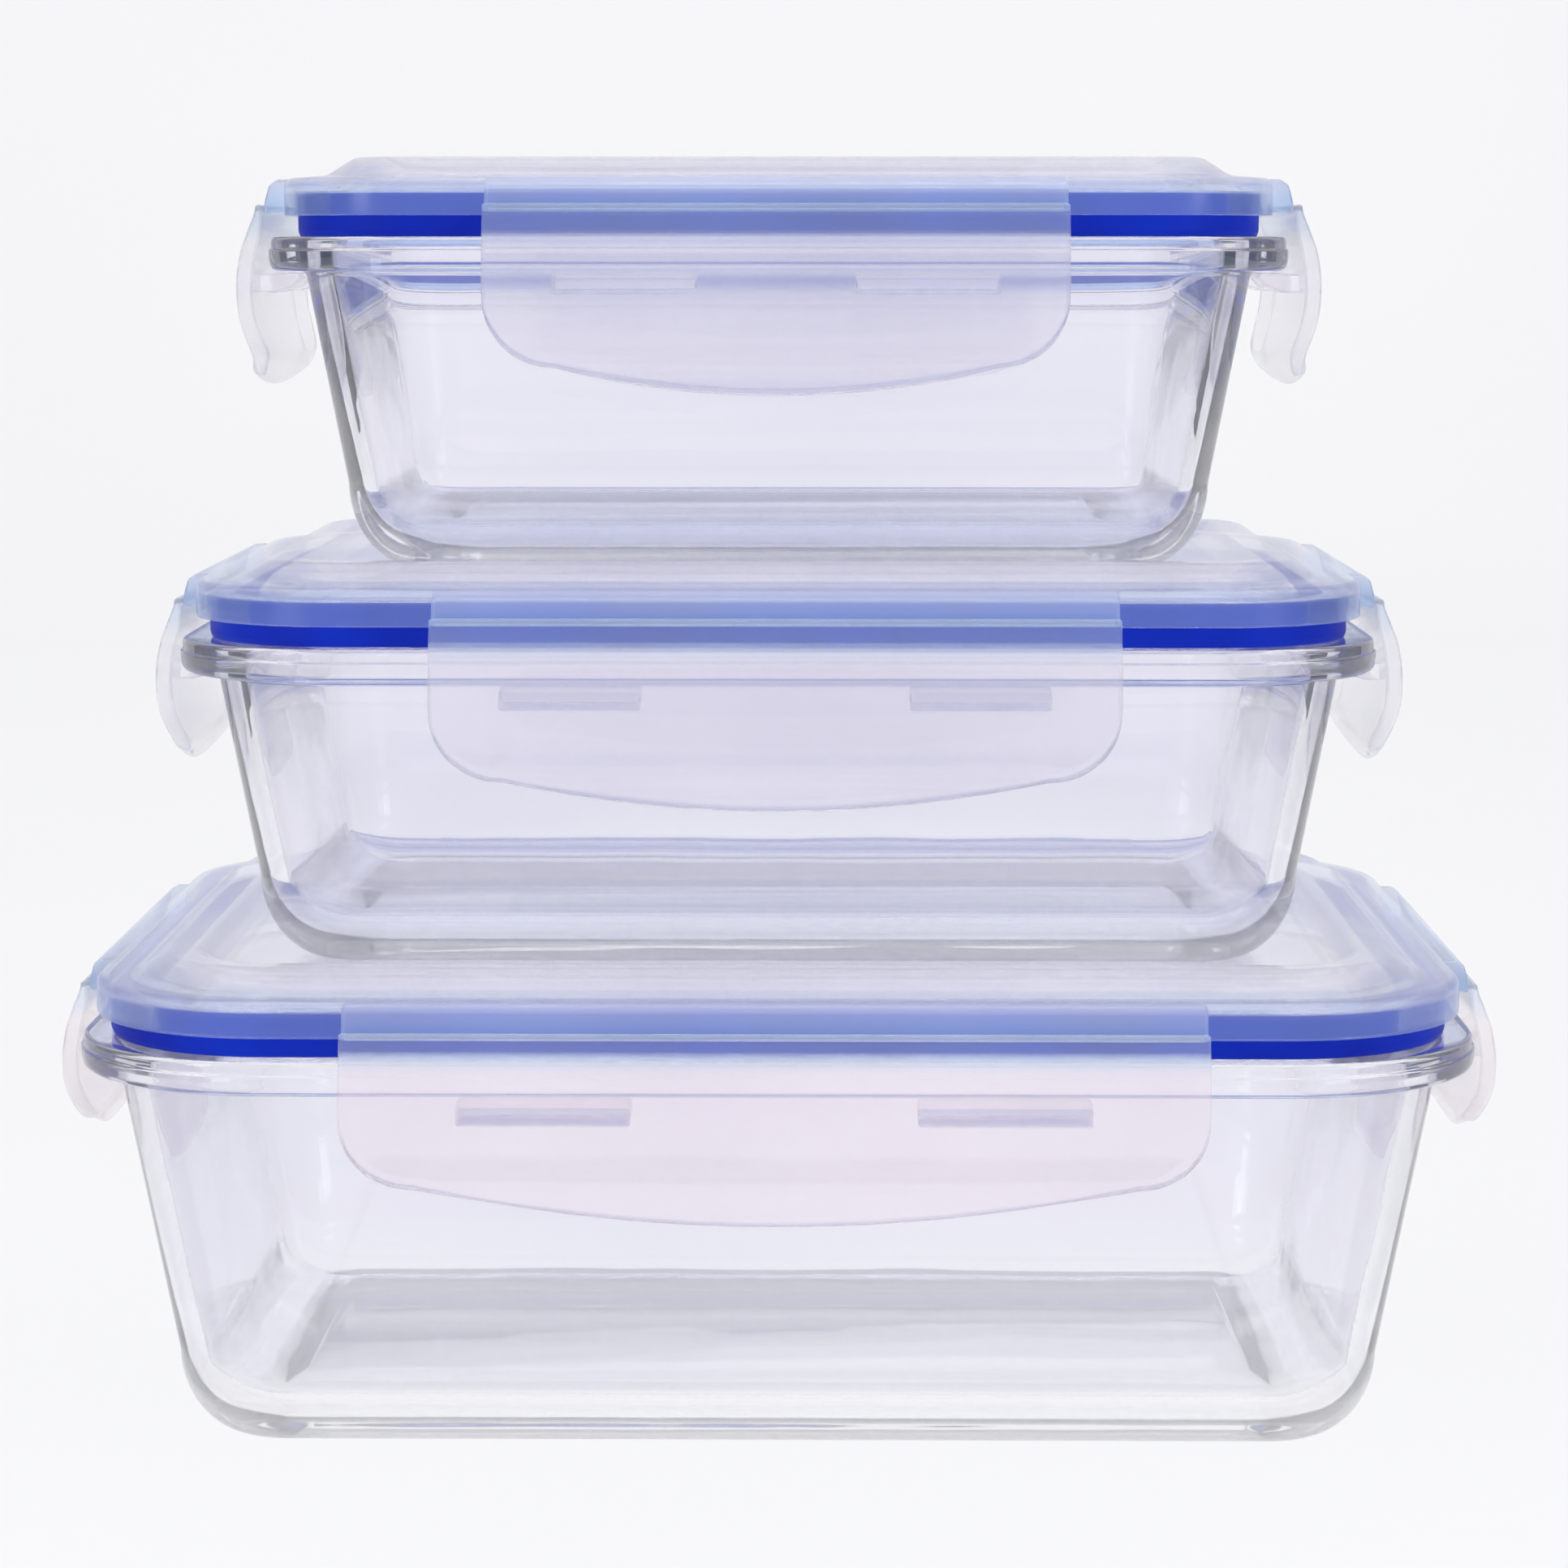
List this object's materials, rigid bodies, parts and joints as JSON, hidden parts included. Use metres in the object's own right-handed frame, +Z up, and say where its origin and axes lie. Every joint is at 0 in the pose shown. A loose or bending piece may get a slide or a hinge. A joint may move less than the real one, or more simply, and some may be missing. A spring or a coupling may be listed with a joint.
{
  "type": "glass food storage container set",
  "caption": "Nesting rectangular glass food containers stacked by size, each with a flexible seal and a clip-down lid held by hinged latches.",
  "frame": {"origin": "centre of the foot of the largest container, on the surface it stands on", "axes": "+Z up, +X along the long side, +Y towards the back; the long front latches face -Y"},
  "size_m": [0.2152, 0.1622, 0.1877],
  "materials": {
    "glass": "clear pressed glass",
    "silicone": "smooth saturated blue silicone",
    "polypropylene": "frosted translucent, satin"
  },
  "bodies": {
    "large_glass": {"large_glass": "glass"},
    "large_lid": {"large_lid": "polypropylene", "large_gasket": "silicone"},
    "large_latch_front": {"large_latch_front": "polypropylene"},
    "large_latch_back": {"large_latch_back": "polypropylene"},
    "large_latch_left": {"large_latch_left": "polypropylene"},
    "large_latch_right": {"large_latch_right": "polypropylene"},
    "medium_glass": {"medium_glass": "glass"},
    "medium_lid": {"medium_lid": "polypropylene", "medium_gasket": "silicone"},
    "medium_latch_front": {"medium_latch_front": "polypropylene"},
    "medium_latch_back": {"medium_latch_back": "polypropylene"},
    "medium_latch_left": {"medium_latch_left": "polypropylene"},
    "medium_latch_right": {"medium_latch_right": "polypropylene"},
    "small_glass": {"small_glass": "glass"},
    "small_lid": {"small_lid": "polypropylene", "small_gasket": "silicone"},
    "small_latch_front": {"small_latch_front": "polypropylene"},
    "small_latch_back": {"small_latch_back": "polypropylene"},
    "small_latch_left": {"small_latch_left": "polypropylene"},
    "small_latch_right": {"small_latch_right": "polypropylene"}
  },
  "joints": [
    {"name": "large_lid_lift", "type": "slide", "parent": "large_glass", "child": "large_lid", "axis": [0, 0, 1], "range_m": [0, 0.014]},
    {"name": "large_latch_front_hinge", "type": "hinge", "parent": "large_lid", "child": "large_latch_front", "pos_m": [0, -0.0781, 0.0649], "axis": [-1, 0, 0], "range_deg": [0, 165]},
    {"name": "large_latch_back_hinge", "type": "hinge", "parent": "large_lid", "child": "large_latch_back", "pos_m": [0, 0.0781, 0.0649], "axis": [1, 0, 0], "range_deg": [0, 165]},
    {"name": "large_latch_left_hinge", "type": "hinge", "parent": "large_lid", "child": "large_latch_left", "pos_m": [-0.1046, 0, 0.0649], "axis": [0, 1, 0], "range_deg": [0, 165]},
    {"name": "large_latch_right_hinge", "type": "hinge", "parent": "large_lid", "child": "large_latch_right", "pos_m": [0.1046, 0, 0.0649], "axis": [0, -1, 0], "range_deg": [0, 165]},
    {"name": "medium_container_lift", "type": "slide", "parent": "large_lid", "child": "medium_glass", "axis": [0, 0, 1], "range_m": [0, 0.06]},
    {"name": "medium_lid_lift", "type": "slide", "parent": "medium_glass", "child": "medium_lid", "axis": [0, 0, 1], "range_m": [0, 0.014]},
    {"name": "medium_latch_front_hinge", "type": "hinge", "parent": "medium_lid", "child": "medium_latch_front", "pos_m": [0, -0.0671, 0.1222], "axis": [-1, 0, 0], "range_deg": [0, 165]},
    {"name": "medium_latch_back_hinge", "type": "hinge", "parent": "medium_lid", "child": "medium_latch_back", "pos_m": [0, 0.0671, 0.1222], "axis": [1, 0, 0], "range_deg": [0, 165]},
    {"name": "medium_latch_left_hinge", "type": "hinge", "parent": "medium_lid", "child": "medium_latch_left", "pos_m": [-0.0901, 0, 0.1222], "axis": [0, 1, 0], "range_deg": [0, 165]},
    {"name": "medium_latch_right_hinge", "type": "hinge", "parent": "medium_lid", "child": "medium_latch_right", "pos_m": [0.0901, 0, 0.1222], "axis": [0, -1, 0], "range_deg": [0, 165]},
    {"name": "small_container_lift", "type": "slide", "parent": "medium_lid", "child": "small_glass", "axis": [0, 0, 1], "range_m": [0, 0.06]},
    {"name": "small_lid_lift", "type": "slide", "parent": "small_glass", "child": "small_lid", "axis": [0, 0, 1], "range_m": [0, 0.014]},
    {"name": "small_latch_front_hinge", "type": "hinge", "parent": "small_lid", "child": "small_latch_front", "pos_m": [0, -0.0571, 0.1803], "axis": [-1, 0, 0], "range_deg": [0, 165]},
    {"name": "small_latch_back_hinge", "type": "hinge", "parent": "small_lid", "child": "small_latch_back", "pos_m": [0, 0.0571, 0.1803], "axis": [1, 0, 0], "range_deg": [0, 165]},
    {"name": "small_latch_left_hinge", "type": "hinge", "parent": "small_lid", "child": "small_latch_left", "pos_m": [-0.0771, 0, 0.1803], "axis": [0, 1, 0], "range_deg": [0, 165]},
    {"name": "small_latch_right_hinge", "type": "hinge", "parent": "small_lid", "child": "small_latch_right", "pos_m": [0.0771, 0, 0.1803], "axis": [0, -1, 0], "range_deg": [0, 165]}
  ],
  "couplings": [
    {"joint": "large_latch_front_hinge", "follows": "large_lid_lift", "rad_per_m": 205.68},
    {"joint": "large_latch_back_hinge", "follows": "large_lid_lift", "rad_per_m": 205.68},
    {"joint": "large_latch_left_hinge", "follows": "large_lid_lift", "rad_per_m": 205.68},
    {"joint": "large_latch_right_hinge", "follows": "large_lid_lift", "rad_per_m": 205.68},
    {"joint": "medium_latch_front_hinge", "follows": "medium_lid_lift", "rad_per_m": 205.68},
    {"joint": "medium_latch_back_hinge", "follows": "medium_lid_lift", "rad_per_m": 205.68},
    {"joint": "medium_latch_left_hinge", "follows": "medium_lid_lift", "rad_per_m": 205.68},
    {"joint": "medium_latch_right_hinge", "follows": "medium_lid_lift", "rad_per_m": 205.68},
    {"joint": "small_latch_front_hinge", "follows": "small_lid_lift", "rad_per_m": 205.68},
    {"joint": "small_latch_back_hinge", "follows": "small_lid_lift", "rad_per_m": 205.68},
    {"joint": "small_latch_left_hinge", "follows": "small_lid_lift", "rad_per_m": 205.68},
    {"joint": "small_latch_right_hinge", "follows": "small_lid_lift", "rad_per_m": 205.68}
  ]
}
